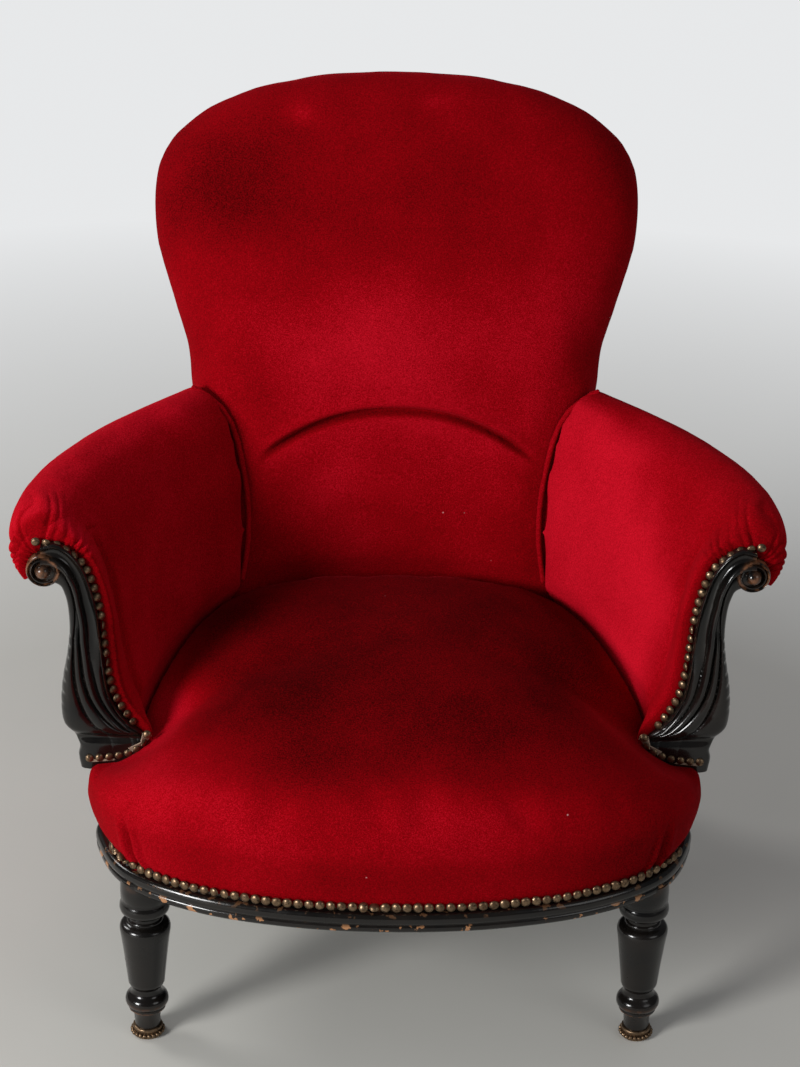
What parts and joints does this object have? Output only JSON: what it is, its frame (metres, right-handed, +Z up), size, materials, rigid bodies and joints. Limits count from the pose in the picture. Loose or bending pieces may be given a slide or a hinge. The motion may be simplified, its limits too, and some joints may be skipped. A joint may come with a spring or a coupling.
{
  "type": "upholstered armchair",
  "caption": "Low armchair with a sprung velvet seat, a balloon back, rolled arms with carved wooden supports, and turned front legs on brass rings.",
  "frame": {"origin": "on the floor, under the middle of the chair's bounding box", "axes": "+Z up, -Y towards the front, where the sitter faces, +X to the right as seen from the front"},
  "size_m": [0.7654, 0.6304, 0.867],
  "materials": {
    "velvet": "deep red cut-pile velvet with a bright sheen at its edges",
    "ebonised_wood": "black, semi-gloss, rubbed brown on its edges",
    "beech": "bare planed beech, out of sight under the covers",
    "brass": "aged dull brass",
    "stuffing": "curled horsehair under calico",
    "jute": "plain woven jute",
    "black_lining": "thin black lining cloth",
    "spring_steel": "dull steel wire"
  },
  "bodies": {
    "root": {"front_seat_rail": "beech", "side_seat_rail_right": "beech", "side_seat_rail_left": "beech", "front_corner_block_right": "beech", "front_corner_block_left": "beech", "rear_corner_block_right": "beech", "rear_corner_block_left": "beech", "crest_rail": "beech", "lower_back_rail": "beech", "arm_rail_right": "beech", "arm_rail_left": "beech", "rear_leg_and_stile_right": "ebonised_wood", "rear_leg_and_stile_left": "ebonised_wood", "rear_seat_rail": "ebonised_wood", "front_leg_right": "ebonised_wood", "front_leg_left": "ebonised_wood", "front_rail_moulding": "ebonised_wood", "side_rail_moulding_right": "ebonised_wood", "side_rail_moulding_left": "ebonised_wood", "arm_support_right": "ebonised_wood", "arm_support_left": "ebonised_wood", "brass_foot_ring_right": "brass", "brass_foot_ring_left": "brass", "arm_nail_row_right": "brass", "arm_nail_row_left": "brass", "foot_nail_row_right": "brass", "foot_nail_row_left": "brass", "front_nail_row": "brass", "seat_cover": "velvet", "back_cover": "velvet", "outside_back_cover": "velvet", "outside_arm_cover_right": "velvet", "outside_arm_cover_left": "velvet", "arm_piping_right": "velvet", "arm_piping_left": "velvet", "arm_pad_right": "velvet", "arm_pad_left": "velvet", "seat_stuffing": "stuffing", "back_stuffing": "stuffing", "spring_hessian": "jute", "back_webbing": "jute", "seat_webbing": "jute", "bottom_cloth": "black_lining", "seat_spring_1": "spring_steel", "seat_spring_2": "spring_steel", "seat_spring_3": "spring_steel", "seat_spring_4": "spring_steel", "seat_spring_5": "spring_steel", "seat_spring_6": "spring_steel", "seat_spring_7": "spring_steel", "seat_spring_8": "spring_steel", "seat_spring_9": "spring_steel"}
  },
  "joints": []
}
